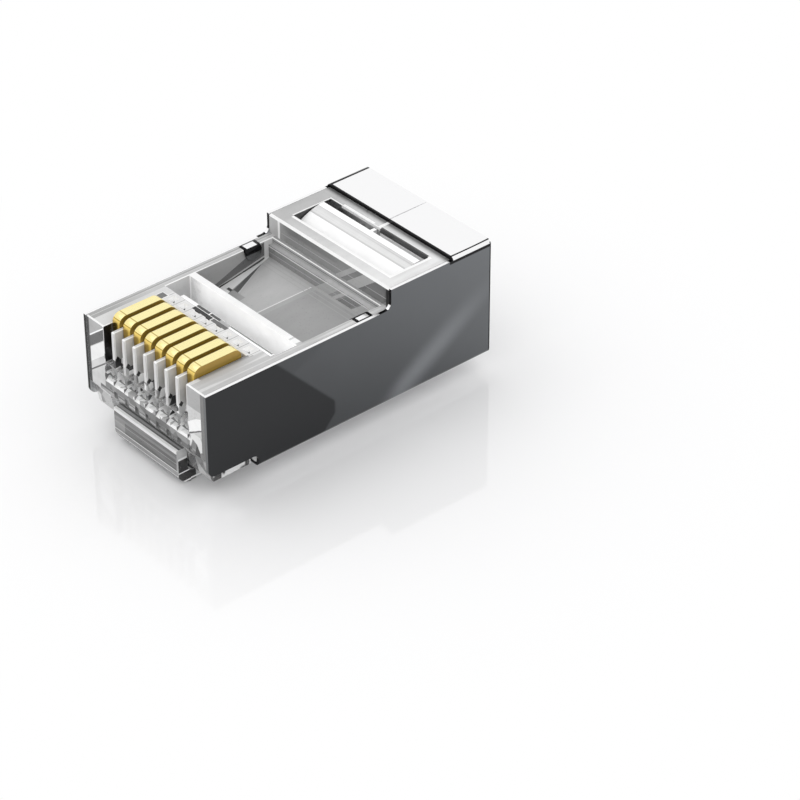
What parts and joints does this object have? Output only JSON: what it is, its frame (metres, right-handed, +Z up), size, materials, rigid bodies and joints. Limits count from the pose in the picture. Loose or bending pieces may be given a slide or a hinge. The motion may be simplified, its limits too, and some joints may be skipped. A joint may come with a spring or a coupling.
{
  "type": "shielded modular plug",
  "caption": "Clear modular network plug with a folded metal shield, gold contacts in a comb, a sprung latch, a wire clamp and a cable clamp, lying on its latch.",
  "frame": {"origin": "centre of the bounding box's underside, on the floor under the latch", "axes": "+X to the right seen from the nose, +Y back towards the cable, +Z up through the contacts"},
  "size_m": [0.0116, 0.0222, 0.0093],
  "materials": {
    "clear_plastic": "clear polycarbonate, polished mould",
    "latch_plastic": "clear polycarbonate, polished mould",
    "clamp_plastic": "clear polycarbonate, polished mould",
    "shield_sheet": "bright nickel plate",
    "contact_gold": "gold flash over nickel"
  },
  "bodies": {
    "housing": {"plug_body": "clear_plastic", "shield": "shield_sheet"},
    "latch": {"latch_tab": "latch_plastic"},
    "wire_clamp": {"wire_clamp_bar": "clamp_plastic"},
    "cable_clamp": {"cable_clamp_bar": "clamp_plastic"},
    "contact_1": {"contact_1": "contact_gold"},
    "contact_2": {"contact_2": "contact_gold"},
    "contact_3": {"contact_3": "contact_gold"},
    "contact_4": {"contact_4": "contact_gold"},
    "contact_5": {"contact_5": "contact_gold"},
    "contact_6": {"contact_6": "contact_gold"},
    "contact_7": {"contact_7": "contact_gold"},
    "contact_8": {"contact_8": "contact_gold"}
  },
  "joints": [
    {"name": "latch_bend", "type": "hinge", "parent": "housing", "child": "latch", "pos_m": [0, -0.01047, 0.00255], "axis": [1, 0, 0], "range_deg": [0, 7], "stiffness_Nm_per_rad": 0.1},
    {"name": "wire_clamp_press", "type": "hinge", "parent": "housing", "child": "wire_clamp", "pos_m": [0, -0.00532, 0.0066], "axis": [1, 0, 0], "range_deg": [-25, 0]},
    {"name": "cable_clamp_press", "type": "hinge", "parent": "housing", "child": "cable_clamp", "pos_m": [0, 0.00424, 0.00815], "axis": [1, 0, 0], "range_deg": [-28, 0]},
    {"name": "contact_1_crimp", "type": "slide", "parent": "housing", "child": "contact_1", "axis": [0, 0, -1], "range_m": [0, 0.0011]},
    {"name": "contact_2_crimp", "type": "slide", "parent": "housing", "child": "contact_2", "axis": [0, 0, -1], "range_m": [0, 0.0011]},
    {"name": "contact_3_crimp", "type": "slide", "parent": "housing", "child": "contact_3", "axis": [0, 0, -1], "range_m": [0, 0.0011]},
    {"name": "contact_4_crimp", "type": "slide", "parent": "housing", "child": "contact_4", "axis": [0, 0, -1], "range_m": [0, 0.0011]},
    {"name": "contact_5_crimp", "type": "slide", "parent": "housing", "child": "contact_5", "axis": [0, 0, -1], "range_m": [0, 0.0011]},
    {"name": "contact_6_crimp", "type": "slide", "parent": "housing", "child": "contact_6", "axis": [0, 0, -1], "range_m": [0, 0.0011]},
    {"name": "contact_7_crimp", "type": "slide", "parent": "housing", "child": "contact_7", "axis": [0, 0, -1], "range_m": [0, 0.0011]},
    {"name": "contact_8_crimp", "type": "slide", "parent": "housing", "child": "contact_8", "axis": [0, 0, -1], "range_m": [0, 0.0011]}
  ]
}
